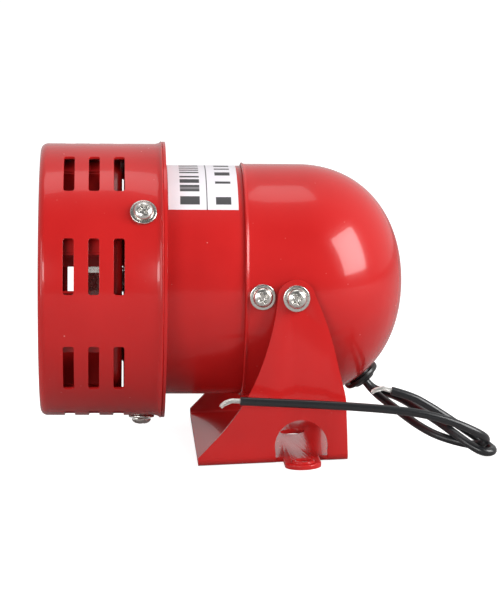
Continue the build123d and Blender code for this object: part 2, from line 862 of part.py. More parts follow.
def make_inner_leads():
    """The leads' hidden ends, from the grommet to the rear of the lower field coil."""
    pieces = []
    for across in (-lead_spread, lead_spread):
        start = grommet_place * Pos(0, across, -3.7)
        inner = grommet_place * Pos(0, across, -6.6)
        points = [
            tuple(start.position),
            tuple(inner.position),
            (14.0, across * 2.0, -24.6),
            (8.6, across * 2.6, -22.0),
            (stack_rear + end_turn + 0.25, across * 2.8, -20.9),
        ]
        solid, _, _ = tube_along(points, lead_diameter * 0.8)
        pieces.append(solid)
    return group(pieces)


def make_motor():
    """The still parts of the motor."""
    screws = []
    for angle in motor_screw_angles:
        place = Rot(angle, 0, 0) * Pos(neck_front - pan_sheet, 0, motor_screw_circle) * Rot(0, -90, 0)
        screws.append(place * pan_screw(5.2, screw_radius, 3.4, 1.9))
    bolts = []
    for angle in side_angles:
        place = outward(angle, bolt_circle, rear_plate[1]) * Rot(0, 90, 0)
        bolts.append(place * pan_screw(rear_plate[1] + 42.0, bolt_radius, 2.7, 1.9))
    made = {
        "stator_core": make_stator_core(),
        "field_coils": make_field_coils(),
        "front_end_frame": make_front_end_frame(),
        "rear_end_frame": make_rear_end_frame(),
        "front_bearing": bearing(front_bearing_span, front_bearing_radius, shaft_radius + running_gap),
        "rear_bearing": bearing(rear_bearing_span, rear_bearing_radius, thread_radius + running_gap),
        "motor_screws": group(screws),
        "stator_bolts": group(bolts),
        "inner_leads": make_inner_leads(),
    }
    made.update(make_brush_gear())
    return made


def main():
    """Build every node and write it."""
    os.makedirs("parts", exist_ok=True)
    tilting = {
        "front_cover": make_front_cover(),
        "rear_pan": make_rear_pan(),
        "closing_ring": make_closing_ring(),
        "motor_housing": make_motor_housing(),
        "rear_shell": make_rear_shell(),
        "name_label": make_label(),
        "cable_grommet": make_cable_grommet(),
    }
    tilting.update(make_fasteners())
    tilting.update(make_motor())
    tilting.update(make_rotor())
    for name, piece in tilting.items():
        save(name, at_rest(piece))
    save("u_bracket", make_u_bracket())
    for name, piece in make_leads().items():
        save(name, piece)


main()
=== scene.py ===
import json
import math
import bpy
import bmesh
from mathutils import Matrix, Vector


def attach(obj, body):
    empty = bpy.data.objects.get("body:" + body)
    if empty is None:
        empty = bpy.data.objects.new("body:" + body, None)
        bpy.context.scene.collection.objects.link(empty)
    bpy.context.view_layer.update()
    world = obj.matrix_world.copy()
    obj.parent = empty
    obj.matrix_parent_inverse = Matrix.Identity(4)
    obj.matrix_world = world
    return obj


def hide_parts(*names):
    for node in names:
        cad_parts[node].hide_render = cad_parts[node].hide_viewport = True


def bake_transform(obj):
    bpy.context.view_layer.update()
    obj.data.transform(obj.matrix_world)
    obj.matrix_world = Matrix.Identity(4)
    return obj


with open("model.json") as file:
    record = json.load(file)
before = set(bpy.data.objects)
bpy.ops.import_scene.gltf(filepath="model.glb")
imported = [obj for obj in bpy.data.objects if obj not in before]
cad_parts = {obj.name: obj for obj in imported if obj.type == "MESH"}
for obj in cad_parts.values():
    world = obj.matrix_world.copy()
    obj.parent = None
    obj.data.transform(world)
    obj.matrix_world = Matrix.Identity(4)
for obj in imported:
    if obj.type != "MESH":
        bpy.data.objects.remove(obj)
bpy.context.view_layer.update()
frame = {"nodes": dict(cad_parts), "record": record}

mm = 0.001
joints = {joint["name"]: joint for joint in frame["record"]["behaviour"]["joints"]}
pivot = Vector(joints["siren_tilt"]["pos_m"])
sirenAxis = Vector(joints["rotor_spin"]["axis"])
restTilt = math.atan2(-sirenAxis.z, sirenAxis.x)
sirenFrame = Matrix.Translation(pivot) @ Matrix.Rotation(restTilt, 4, "Y")    # siren axis along X, pivot at 0


view = {"azimuth": -2.93, "elevation": 8.81, "roll": -2.0, "distance": 0.7844, "lens": 144.06,
        "aim": (-0.0124, 0.0, 0.0457)}


def placeCamera():
    turn, rise, roll = (math.radians(view[key]) for key in ("azimuth", "elevation", "roll"))
    back = Vector((math.sin(turn) * math.cos(rise), -math.cos(turn) * math.cos(rise), math.sin(rise)))
    right = (-back).cross(Vector((0, 0, 1))).normalized()
    up = right.cross(-back)
    tiltedRight = right * math.cos(roll) + up * math.sin(roll)
    tiltedUp = up * math.cos(roll) - right * math.sin(roll)
    data = bpy.data.cameras.new("camera")
    data.lens = view["lens"]
    data.sensor_width = 36
    data.clip_start = 0.01
    camera = bpy.data.objects.new("camera", data)
    bpy.context.scene.collection.objects.link(camera)
    spot = Vector(view["aim"]) + back * view["distance"]
    turnIt = Matrix((tiltedRight, tiltedUp, back)).transposed().to_4x4()
    camera.matrix_world = Matrix.Translation(spot) @ turnIt
    bpy.context.scene.camera = camera


placeCamera()
print("camera placed")


class Signal:    # one socket of a material, so that shader maths reads as maths
    def __init__(self, sheet, socket):
        self.sheet, self.socket = sheet, socket

    def maths(self, operation, *others, clamp=False):
        return self.sheet.add("ShaderNodeMath", {"operation": operation, "use_clamp": clamp}, (self, *others))

    def __add__(self, other):
        return self.maths("ADD", other)

    def __sub__(self, other):
        return self.maths("SUBTRACT", other)

    def __mul__(self, other):
        return self.maths("MULTIPLY", other)

    def __truediv__(self, other):
        return self.maths("DIVIDE", other)

    def __rsub__(self, other):
        return self.sheet.add("ShaderNodeMath", {"operation": "SUBTRACT"}, (other, self))

    def __rtruediv__(self, other):
        return self.sheet.add("ShaderNodeMath", {"operation": "DIVIDE"}, (other, self))

    __radd__ = __add__
    __rmul__ = __mul__

    def over(self, edge, soft=0.001):    # 1 above the edge, 0 below, with a soft step
        return ((self - edge) / soft).maths("ADD", 0.5, clamp=True)

    def under(self, edge, soft=0.001):
        return ((edge - self) / soft).maths("ADD", 0.5, clamp=True)

    def within(self, low, high, soft=0.001):
        return self.over(low, soft) * self.under(high, soft)


class Finish:    # a material under construction, or the world
    def __init__(self, name, tree=None, shader="BSDF_PRINCIPLED"):
        if tree is None:
            self.material = bpy.data.materials.new(name)
            self.material.use_nodes = True
            tree = self.material.node_tree
        self.tree = tree
        self.shader = next(node for node in tree.nodes if node.type == shader)
        self.coordinates = self.add("ShaderNodeTexCoord").socket.node

    def add(self, kind, settings=None, values=(), output=0):    # any node: settings first, then sockets
        node = self.tree.nodes.new(kind)
        for key, value in (settings or {}).items():
            if key == "stops":
                ramp = node.color_ramp
                while len(ramp.elements) < len(value):
                    ramp.elements.new(0.5)
                for element, (place, colour) in zip(ramp.elements, value):
                    element.position = place
                    element.color = colour
            else:
                setattr(node, key, value)
        pairs = values.items() if isinstance(values, dict) else enumerate(values)
        for key, value in pairs:
            if isinstance(value, Signal):
                self.tree.links.new(value.socket, node.inputs[key])
            elif value is not None:
                node.inputs[key].default_value = value
        return Signal(self, node.outputs[output])

    def out(self, name):
        return Signal(self, self.coordinates.outputs[name])

    def place(self, scale=1000.0, stretch=(1, 1, 1)):    # object space; scale 1000 counts in millimetres
        size = tuple(scale * side for side in stretch)
        return self.add("ShaderNodeVectorMath", {"operation": "MULTIPLY"}, (self.out("Object"), size))

    def noise(self, size, detail=3.0, rough=0.5, stretch=(1, 1, 1), shift=(0, 0, 0)):    # size in mm
        at = self.add("ShaderNodeVectorMath", {"operation": "ADD"}, (self.place(stretch=stretch), shift))
        inputs = {"Vector": at, "Scale": 1.0 / size, "Detail": detail, "Roughness": rough}
        return self.add("ShaderNodeTexNoise", {}, inputs)

    def cells(self, size, shift=(0, 0, 0), stretch=(1, 1, 1)):    # distance to scattered points
        at = self.add("ShaderNodeVectorMath", {"operation": "ADD"}, (self.place(stretch=stretch), shift))
        return self.add("ShaderNodeTexVoronoi", {"feature": "F1"}, {"Vector": at, "Scale": 1.0 / size})

    def blend(self, share, first, second):
        return self.add("ShaderNodeMix", {"data_type": "RGBA"}, {0: share, 6: first, 7: second}, output=2)

    def set(self, **values):
        for key, value in values.items():
            socket = self.shader.inputs[key.replace("_", " ")]
            if isinstance(value, Signal):
                self.tree.links.new(value.socket, socket)
            else:
                socket.default_value = value

    def bump(self, height, strength, distance):
        values = {"Strength": strength, "Distance": distance, "Height": height}
        self.set(Normal=self.add("ShaderNodeBump", {}, values))


def shade(red, green, blue):
    return (red, green, blue, 1.0)


paint = {"colour": shade(0.47, 0.0135, 0.0130), "dark": shade(0.42, 0.0105, 0.0102),
         "mottle": shade(0.26, 0.005, 0.006), "chip": shade(0.72, 0.36, 0.34),
         "roughness": 0.20, "specular": 0.22, "coat": 0.30, "coatRoughness": 0.03, "coatIor": 1.5,
         "speckShare": 0.55, "hairShare": 0.35, "peelSize": 1.3, "peelHeight": 0.00001}


def redPaint():
    finish = Finish("red_paint")
    broad = finish.noise(28.0, 2.0)
    fine = finish.noise(0.9, 3.0)
    specks = finish.cells(5.2).under(0.045, 0.02) * finish.noise(9.0, 2.0, shift=(7, 3, 1)).over(0.52, 0.1)
    hairs = finish.cells(6.5, shift=(3, 8, 5), stretch=(1.0, 0.35, 3.2)).under(0.035, 0.02)
    hairs = hairs * finish.noise(12.0, 2.0, shift=(1, 9, 4)).over(0.54, 0.06)
    colour = finish.blend(broad.within(0.35, 0.75, 0.3), paint["dark"], paint["colour"])
    colour = finish.blend(fine * 0.05, colour, paint["mottle"])
    colour = finish.blend(specks * paint["speckShare"] + hairs * paint["hairShare"], colour, paint["chip"])
    roughness = paint["roughness"] + finish.noise(3.0, 4.0, shift=(2, 2, 9)) * 0.08 + specks * 0.3
    finish.set(Base_Color=colour, Roughness=roughness, Specular_IOR_Level=paint["specular"],
               Coat_Weight=paint["coat"], Coat_Roughness=paint["coatRoughness"], Coat_IOR=paint["coatIor"])
    peel = finish.noise(paint["peelSize"], 2.0) * 0.8 + finish.noise(9.0, 1.0, shift=(5, 5, 5)) * 2.0
    finish.bump(peel - specks * 1.5, 0.35, paint["peelHeight"])
    return finish.material


def metal(name, colour, roughness, grain=(1, 1, 1), grainSize=0.6, stain=0.25, bumpHeight=0.00002):
    finish = Finish(name)
    cloud = finish.noise(2.6, 4.0, stretch=grain)
    fine = finish.noise(grainSize, 3.0, stretch=grain, shift=(4, 1, 6))
    darker = tuple(part * 0.62 for part in colour[:3]) + (1.0,)
    finish.set(Base_Color=finish.blend(cloud.over(0.55, 0.3) * stain, colour, darker), Metallic=1.0,
               Roughness=roughness + fine * 0.14 + cloud * 0.06)
    finish.bump(fine, 0.25, bumpHeight)
    return finish.material


def dullPlastic(name, colour, roughness, size=0.5, bumpHeight=0.00002, dust=0.06):
    finish = Finish(name)
    cloud = finish.noise(6.0, 3.0)
    fine = finish.noise(size, 3.0, shift=(1, 2, 3))
    paler = tuple(part + 0.10 for part in colour[:3]) + (1.0,)
    lint = finish.cells(2.4, shift=(6, 1, 2)).under(0.05, 0.03)
    finish.set(Base_Color=finish.blend(cloud * dust + lint * 0.16, colour, paler), Metallic=0.0,
               Roughness=roughness + fine * 0.10 + cloud * 0.05)
    finish.bump(fine, 0.3, bumpHeight)
    return finish.material


def laminations():
    finish = Finish("lamination_steel")
    place = finish.add("ShaderNodeSeparateXYZ", {}, (finish.place(),))
    sheets = (place * (2 * math.pi / 0.5)).maths("SINE")    # half-millimetre sheets stacked along X
    rust = finish.noise(3.5, 5.0).over(0.62, 0.15)
    colour = finish.blend(sheets * 0.25 + 0.25, shade(0.30, 0.30, 0.32), shade(0.10, 0.10, 0.11))
    finish.set(Base_Color=finish.blend(rust * 0.35, colour, shade(0.16, 0.07, 0.03)), Metallic=0.9,
               Roughness=0.36 + rust * 0.3)
    finish.bump(sheets, 0.6, 0.00006)
    return finish.material


def copperWire(name, colour):
    finish = Finish(name)
    place = finish.place()
    wave = finish.add("ShaderNodeTexWave", {"bands_direction": "DIAGONAL", "wave_profile": "SIN"},
                      {"Vector": place, "Scale": 0.62, "Distortion": 1.2, "Detail": 1.0})
    varnish = finish.noise(2.0, 3.0)
    darker = tuple(part * 0.35 for part in colour[:3]) + (1.0,)
    # the colour darkens where the bump's waves dip, so the grooves between the turns carry painted shade
    finish.set(Base_Color=finish.blend(1 - wave * 0.8, colour, darker), Metallic=0.85,
               Roughness=0.28 + varnish * 0.16)
    finish.bump(wave, 0.8, 0.00016)
    return finish.material


def ballBearing():
    finish = Finish("ground_steel")
    turned = finish.noise(0.35, 2.0, stretch=(9, 1, 1))
    finish.set(Base_Color=finish.blend(turned * 0.3, shade(0.56, 0.56, 0.57), shade(0.33, 0.33, 0.34)),
               Metallic=1.0, Roughness=0.20 + turned * 0.12)
    finish.bump(turned, 0.2, 0.00001)
    return finish.material


labelPrint = {"paper": shade(0.74, 0.72, 0.76), "grime": shade(0.60, 0.57, 0.56),
              "ink": shade(0.010, 0.010, 0.012), "divider": 0.553, "halfRule": 0.007, "margin": 0.035,
              "filled": 0.42,
              "bands": ((0.17, 0.45, 52, 3.1), (0.68, 0.90, 44, 7.7))}    # start, end, bars, seed


def labelFilm():    # white vinyl with a thin rule between its two fields and a plain bar pattern in each
    finish = Finish("label_film")
    sheet = finish.add("ShaderNodeUVMap", {"uv_map": "print"})
    across = finish.add("ShaderNodeSeparateXYZ", {}, (sheet,))
    along = finish.add("ShaderNodeSeparateXYZ", {}, (sheet,), output=1)
    divider, halfRule, margin = (labelPrint[key] for key in ("divider", "halfRule", "margin"))
    ink = across.within(divider - halfRule, divider + halfRule, 0.005)
    body = along.within(margin, 1 - margin, 0.002)
    for start, end, bars, seed in labelPrint["bands"]:
        number = (along * bars).maths("FLOOR")
        chance = ((number * 12.99 + seed).maths("SINE") * 437.5).maths("FRACT")
        ink = ink + across.within(start, end, 0.006) * chance.over(labelPrint["filled"], 0.01) * body
    grime = finish.noise(5.0, 4.0)
    paper = finish.blend(grime.over(0.5, 0.4) * 0.10, labelPrint["paper"], labelPrint["grime"])
    finish.set(Base_Color=finish.blend(ink.maths("MINIMUM", 1.0) * 0.97, paper, labelPrint["ink"]),
               Roughness=0.34 + grime * 0.12)
    finish.bump(finish.noise(1.5, 2.0), 0.15, 0.00002)
    return finish.material


finishes = {
    "red_paint": redPaint(),
    "zinc_steel": metal("zinc_steel", shade(0.66, 0.64, 0.60), 0.16),
    "label_film": labelFilm(),
    "black_rubber": dullPlastic("black_rubber", shade(0.010, 0.010, 0.010), 0.26, dust=0.03),
    "lead_insulation": dullPlastic("lead_insulation", shade(0.0085, 0.009, 0.0105), 0.22, dust=0.02),
    "tinned_copper": metal("tinned_copper", shade(0.80, 0.79, 0.76), 0.24),
    "lamination_steel": laminations(),
    "enamelled_copper": copperWire("enamelled_copper", shade(0.42, 0.14, 0.05)),
    "commutator_copper": metal("commutator_copper", shade(0.70, 0.34, 0.20), 0.22, grain=(8, 1, 1)),
    "cast_alloy": metal("cast_alloy", shade(0.52, 0.52, 0.53), 0.42, grainSize=0.35, bumpHeight=0.00005),
    "ground_steel": ballBearing(),
    "moulded_black": dullPlastic("moulded_black", shade(0.030, 0.026, 0.022), 0.42),
    "carbon": dullPlastic("carbon", shade(0.020, 0.020, 0.021), 0.50, size=0.25),
}
print("finishes made")


def newPiece(name, mesh, slot, body, *nodes):
    piece = bpy.data.objects.new(name, mesh)
    bpy.context.scene.collection.objects.link(piece)
    mesh.materials.clear()
    mesh.materials.append(finishes[slot])
    if body:
        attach(piece, body)
    if nodes:
        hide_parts(*nodes)
    return piece


def finishMesh(shape, name, smooth=True):
    bmesh.ops.recalc_face_normals(shape, faces=shape.faces)
    mesh = bpy.data.meshes.new(name)
    shape.to_mesh(mesh)
    shape.free()
    for polygon in mesh.polygons:
        polygon.use_smooth = smooth
    return mesh


def joinRings(shape, rings, turns):    # a ring of one vertex closes an end
    for first, second in zip(rings, rings[1:]):
        for turn in range(turns):
            after = (turn + 1) % turns
            if len(first) == 1:
                shape.faces.new((first[0], second[turn], second[after]))
            elif len(second) == 1:
                shape.faces.new((first[turn], second[0], first[after]))
            else:
                shape.faces.new((first[turn], second[turn], second[after], first[after]))


def spin(profile, turns):    # profile of (x, radius) in mm, turned about the siren axis
    shape = bmesh.new()
    rings = []
    for x, radius in profile:
        if radius < 1e-6:
            rings.append([shape.verts.new((x * mm, 0, 0))])
        else:
            steps = (2 * math.pi * turn / turns for turn in range(turns))
            rings.append([shape.verts.new((x * mm, -radius * mm * math.cos(a), radius * mm * math.sin(a)))
                          for a in steps])
    joinRings(shape, rings, turns)
    shape.transform(sirenFrame)
    return shape


def roundEdges(piece, width, sharpOver, segments=3, harden=True):
    edge = piece.modifiers.new("edge", "BEVEL")
    edge.width = width * mm
    edge.segments = segments
    edge.limit_method = "ANGLE"
    edge.angle_limit = math.radians(sharpOver)
    edge.harden_normals = harden


def thicken(piece, sheet, bevel):    # a skin becomes sheet metal, inward from its face
    solid = piece.modifiers.new("sheet", "SOLIDIFY")
    solid.thickness = sheet * mm
    solid.offset = -1.0
    solid.use_even_offset = True
    roundEdges(piece, bevel, 35)


leadShape = {"diameter": 2.65, "sides": 20, "ringGap": 0.45, "cutEdge": 0.12, "loose": 0.008,
             "leaves": (0.3, -0.9, -0.3)}
strands = {"count": 13, "core": 4, "radius": 0.155, "sides": 8, "gap": 0.25, "coreSpread": 0.24,
           "spread": 0.6, "twist": 4.6, "flatten": 0.45, "inside": 1.5, "straight": 1.2, "knee": 3.5,
           "end": 3.3, "droop": 0.75}

# the exit of each lead from the grommet's nose, then the corners of its route, in millimetres
longLead = [
    (28.8, -6.2, 12.9), (31.8, -13.8, 11.4), (34.8, -21.4, 9.6), (38.2, -28.2, 7.7), (42.2, -33.6, 5.9),
    (46.5, -37.2, 4.7), (50.9, -39.6, 3.7), (54.6, -41.1, 3.2), (57.1, -43.0, 4.2), (57.5, -45.7, 6.0),
    (55.6, -48.4, 8.0), (51.2, -49.9, 10.6), (45.6, -50.4, 13.2), (38.6, -50.8, 15.6), (30.0, -50.9, 17.4),
    (15.3, -50.5, 19.2), (-0.7, -50.0, 20.7), (-19.0, -49.3, 22.2),
]
shortLead = [
    (30.4, -1.0, 13.6), (34.0, -7.2, 13.2), (37.2, -15.2, 12.3), (40.6, -24.2, 11.0), (44.2, -32.6, 9.4),
    (47.9, -39.0, 7.2), (51.2, -43.0, 5.0), (53.8, -45.2, 3.2), (56.5, -46.4, 2.0), (59.0, -45.4, 1.75),
    (60.0, -42.8, 1.9), (58.9, -40.1, 2.6), (55.9, -37.9, 4.7), (51.2, -37.3, 8.1), (45.5, -37.5, 12.3),
    (40.6, -37.9, 15.8), (35.0, -38.2, 19.3), (28.9, -38.1, 21.2),
]
grommet = {"x": 24.0, "stand": 3.15, "run": 3.6, "spread": 1.5}
dome = {"mouth": -15.3, "flare": 0.5, "wall": (-9.0, -3.0), "start": 3.0, "end": 37.0, "radius": 37.7,
        "power": 2.15, "fullness": 0.6, "steps": 32, "sheet": 0.85, "edge": 0.16}


def grommetFrame():    # on the dome's paint, local +Z pointing out of the dome
    share = (grommet["x"] - dome["start"]) / (dome["end"] - dome["start"])
    height = dome["radius"] * (1 - share ** dome["power"]) ** (1 / dome["power"])
    slopeX = share ** (dome["power"] - 1) / (dome["end"] - dome["start"])
    slopeZ = (height / dome["radius"]) ** (dome["power"] - 1) / dome["radius"]
    lean = math.atan2(slopeX, slopeZ)
    spot = Matrix.Translation(Vector((grommet["x"] * mm, 0, -height * mm)))
    return sirenFrame @ spot @ Matrix.Rotation(math.pi - lean, 4, "Y")


def splineLine(points):    # the smooth line that a NURBS spline draws through a route
    curve = bpy.data.curves.new("route", "CURVE")
    curve.dimensions = "3D"
    curve.resolution_u = 24
    spline = curve.splines.new("NURBS")
    spline.points.add(len(points) - 1)
    for knot, point in zip(spline.points, points):
        knot.co = (*point, 1.0)
    spline.order_u = 3
    spline.use_endpoint_u = True
    holder = bpy.data.objects.new("route", curve)
    bpy.context.scene.collection.objects.link(holder)
    mesh = bpy.data.meshes.new_from_object(holder)
    line = [vertex.co.copy() for vertex in mesh.vertices]
    bpy.data.objects.remove(holder)
    bpy.data.curves.remove(curve)
    bpy.data.meshes.remove(mesh)
    return line


def spacedLine(line, gap):    # the same line with its points a steady gap apart
    spaced, carried = [line[0]], 0.0
    for here, after in zip(line, line[1:]):
        length = (after - here).length
        while length and carried + length >= gap:
            here = here.lerp(after, (gap - carried) / length)
            spaced.append(here.copy())
            length = (after - here).length
            carried = 0.0
        carried += length
    spaced.append(line[-1])
    return spaced


def frameAlong(line):    # a steady sideways direction at each point of a line
    neighbours = zip([line[0]] + line[:-1], line[1:] + [line[-1]])
    ahead = [(after - before).normalized() for before, after in neighbours]
    side = ahead[0].cross(Vector((0, 0, 1))).normalized()
    frames = []
    for way in ahead:
        side = (side - way * side.dot(way)).normalized()
        frames.append((way, side, way.cross(side)))
    return frames


def tubeAlong(shape, line, radius, sides):
    rings = []
    for spot, (way, side, up) in zip(line, frameAlong(line)):
        rings.append([shape.verts.new(spot + (side * math.cos(a) + up * math.sin(a)) * radius)
                      for a in (2 * math.pi * turn / sides for turn in range(sides))])
    joinRings(shape, rings, sides)
    shape.faces.new(rings[0][::-1])
    shape.faces.new(rings[-1])


def lineLength(line):
    return sum((after - here).length for here, after in zip(line, line[1:]))


def makeLead(name, route, across):
    place = grommetFrame()
    start = place @ Vector((0, across * mm, grommet["stand"] * mm))
    first = place @ Vector((0, across * mm, (grommet["stand"] + grommet["run"]) * mm))
    line = splineLine([start, first] + [Vector(point) * mm for point in route])
    line = spacedLine(line, leadShape["ringGap"] * mm)
    shape = bmesh.new()
    radius = leadShape["diameter"] / 2 * mm
    tubeAlong(shape, line, radius, leadShape["sides"])
    mesh = finishMesh(shape, name)
    lead = newPiece(name, mesh, "lead_insulation", None, name)
    roundEdges(lead, leadShape["cutEdge"], 50, segments=2, harden=False)
    bundle = makeStrands(name + "_strands", line)
    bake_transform(lead)
    lineLength(line)
    print(name, round(lineLength(line) * 1000, 1), "mm")


def makeStrands(name, line):    # a loosely twisted bundle of tinned wires, kinked near its end
    tip, before = line[-1], line[-6]
    way = (tip - before).normalized()
    knee = tip + way * strands["knee"] * mm
    end = knee + (way + Vector((0, 0, -strands["droop"]))).normalized() * strands["end"] * mm
    corners = [tip - way * strands["inside"] * mm, tip + way * strands["straight"] * mm, knee, end]
    middle = spacedLine(splineLine(corners), strands["gap"] * mm)
    shape = bmesh.new()
    frames = frameAlong(middle)
    for strand in range(strands["count"]):
        inner = strand < strands["core"]
        count = strands["core"] if inner else strands["count"] - strands["core"]
        spread = strands["coreSpread"] if inner else strands["spread"]
        own = []
        for step, (spot, (ahead, side, up)) in enumerate(zip(middle, frames)):
            share = step / (len(middle) - 1)
            angle = 2 * math.pi * strand / count + share * strands["twist"]
            flat = 1 - strands["flatten"] * max(0.0, share - 0.6) / 0.4
            fan = spread * (1 + (0.2 + strand % 3 * 0.28) * max(0.0, share - 0.5) / 0.5)
            own.append(spot + side * math.cos(angle) * fan * mm + up * math.sin(angle) * fan * flat * mm)
        cut = len(own) - (strand * 5) % 4    # ragged ends
        tubeAlong(shape, own[:cut], strands["radius"] * mm, strands["sides"])
    return newPiece(name, finishMesh(shape, name), "tinned_copper", "bracket", name)


makeLead("long_lead", longLead, -grommet["spread"])
makeLead("short_lead", shortLead, grommet["spread"])
print("leads made")


drum = {"front": -79.9, "rear": -41.4, "radius": 44.0, "sheet": 0.9, "edge": 0.16, "corner": 2.2,
        "flare": 0.9, "flareRun": 1.8, "face": (38.0, 33.0, 29.5), "intake": 26.0, "lipRound": 1.6,
        "lip": 2.4,
        "columns": (-70.5, -62.67, -54.85), "slotWidth": 3.35, "slotArc": 23.0, "rows": 8, "phase": 13.3,
        "slotCorner": 0.8}


def drumProfile():    # from the rear rim forward, round the front corner and in to the intake's lip
    outer, rear, front = drum["radius"], drum["rear"], drum["front"]
    points = [(rear, outer + drum["flare"]), (rear - drum["flareRun"] * 0.2, outer + drum["flare"] * 0.62),
              (rear - drum["flareRun"] * 0.45, outer + drum["flare"] * 0.28),
              (rear - drum["flareRun"], outer)]
    for column in sorted(drum["columns"], reverse=True):
        half, corner = drum["slotWidth"] / 2, drum["slotCorner"]
        points += [(column + step, outer) for step in (half, half - corner, corner - half, -half)]
    round8 = drum["corner"]
    for step in range(9):
        angle = math.radians(90 * step / 8)
        points.append((front + round8 - round8 * math.sin(angle), outer - round8 + round8 * math.cos(angle)))
    points += [(front, radius) for radius in drum["face"]]
    lip = drum["lipRound"]
    for step in range(7):
        angle = math.radians(90 * step / 6)
        points.append((front + lip - lip * math.cos(angle), drum["intake"] + lip - lip * math.sin(angle)))
    points.append((front + drum["lip"], drum["intake"]))
    return points


def slotEdges():    # the angles of the grid lines round the drum, with each slot's rounded ends
    corner = math.degrees(drum["slotCorner"] / drum["radius"])
    half = drum["slotArc"] / 2
    angles = []
    pitch = 360 / drum["rows"]
    for row in range(drum["rows"]):
        middle = drum["phase"] + row * pitch
        inside = [middle - half, middle - half + corner]
        inside += [middle - half + corner + (drum["slotArc"] - 2 * corner) * step / 6 for step in range(1, 6)]
        inside += [middle + half - corner, middle + half]
        outside = [middle + half + (pitch - drum["slotArc"]) * step / 7 for step in range(1, 7)]
        angles += inside + outside
    return angles, len(angles) // drum["rows"]


def makeDrum():
    profile = drumProfile()
    angles, perRow = slotEdges()
    shape = bmesh.new()

    def put(x, radius, angle):
        turn = math.radians(angle)
        return shape.verts.new((x * mm, -radius * mm * math.cos(turn), radius * mm * math.sin(turn)))

    grid = [[put(x, radius, angle) for angle in angles] for x, radius in profile]
    firsts = [4 + 4 * column for column in range(len(drum["columns"]))]
    slotCells = {(first + i, row * perRow + j) for first in firsts for i in range(3)
                 for row in range(drum["rows"]) for j in range(8)}
    corners = {(first + i, row * perRow + j): (i, j) for first in firsts for i in (0, 2)
               for row in range(drum["rows"]) for j in (0, 7)}
    count = len(angles)
    for i in range(len(profile) - 1):
        for j in range(count):
            after = (j + 1) % count
            if (i, j) not in slotCells:
                shape.faces.new((grid[i][j], grid[i + 1][j], grid[i + 1][after], grid[i][after]))
    for (i, j), (side, end) in corners.items():
        outerI, innerI = (i, i + 1) if side == 0 else (i + 1, i)
        outerJ, innerJ = (j, (j + 1) % count) if end == 0 else ((j + 1) % count, j)
        x0, xc = profile[outerI][0], profile[innerI][0]
        a0, ac = angles[outerJ], angles[innerJ]
        arc = [grid[outerI][innerJ]]
        for step in range(1, 4):
            turn = math.radians(90 * step / 4)
            arc.append(put(xc + (x0 - xc) * math.cos(turn), drum["radius"], ac + (a0 - ac) * math.sin(turn)))
        arc.append(grid[innerI][outerJ])
        for here, after in zip(arc, arc[1:]):
            shape.faces.new((grid[outerI][outerJ], here, after))
    shape.transform(sirenFrame)
    loose = [vertex for vertex in shape.verts if not vertex.link_faces]
    bmesh.ops.delete(shape, geom=loose, context="VERTS")
    mesh = finishMesh(shape, "front_cover_skin")
    piece = newPiece("front_cover_skin", mesh, "red_paint", "siren", "front_cover")
    thicken(piece, drum["sheet"], drum["edge"])


makeDrum()
print("drum made")


neck = {"front": -49.5, "face": (9.0, 20.0), "radius": 37.1, "corner": 1.2, "sheet": 0.8, "edge": 0.12,
        "wall": (-44.0, -38.0, -30.0, -22.0), "joggle": -15.9, "joggleEnd": -14.2, "depth": 0.7, "rear": -5.5}
casingTurns = 128


def makeNeck():
    front, radius, corner = neck["front"], neck["radius"], neck["corner"]
    profile = [(front, inner) for inner in (*neck["face"], radius - corner)]
    for step in range(1, 6):
        turn = math.radians(90 * step / 5)
        profile.append((front + corner - corner * math.cos(turn), radius - corner + corner * math.sin(turn)))
    profile += [(x, radius) for x in (*neck["wall"], neck["joggle"])]
    profile += [(x, radius - neck["depth"]) for x in (neck["joggleEnd"], neck["rear"])]
    mesh = finishMesh(spin(profile, casingTurns), "motor_housing_skin")
    piece = newPiece("motor_housing_skin", mesh, "red_paint", "siren", "motor_housing")
    thicken(piece, neck["sheet"], neck["edge"])


def domeProfile():    # flared mouth, straight wall, then one Bezier curve to the crown
    radius, start, end, full = (dome[key] for key in ("radius", "start", "end", "fullness"))
    mouth, flare = dome["mouth"], dome["flare"]
    lip = ((0.0, 1.0), (0.2, 0.8), (0.45, 0.4), (0.75, 0.12), (1.0, 0.0))
    points = [(mouth + back, radius + flare * rise) for back, rise in lip]
    points += [(x, radius) for x in dome["wall"]]
    reach = end - start
    for step in range(dome["steps"] + 1):
        t = step / dome["steps"]
        first, second, third, fourth = (1 - t) ** 3, t * (1 - t) ** 2, t * t * (1 - t), t ** 3
        x = start * first + 3 * (start + reach * full) * second + 3 * end * third + end * fourth
        r = radius * (first + 3 * second + 3 * full * third)
        points.append((x, r if step < dome["steps"] else 0.0))
    return points


def makeDome():
    mesh = finishMesh(spin(domeProfile(), casingTurns), "rear_shell_skin")
    piece = newPiece("rear_shell_skin", mesh, "red_paint", "siren", "rear_shell")
    thicken(piece, dome["sheet"], dome["edge"])


makeNeck()
makeDome()
print("casing made")


label = {"front": -39.5, "rear": -17.5, "start": 44.2, "end": 135.8, "stand": 0.06, "thick": 0.12,
         "edge": 0.03, "long": 48, "wide": 8}


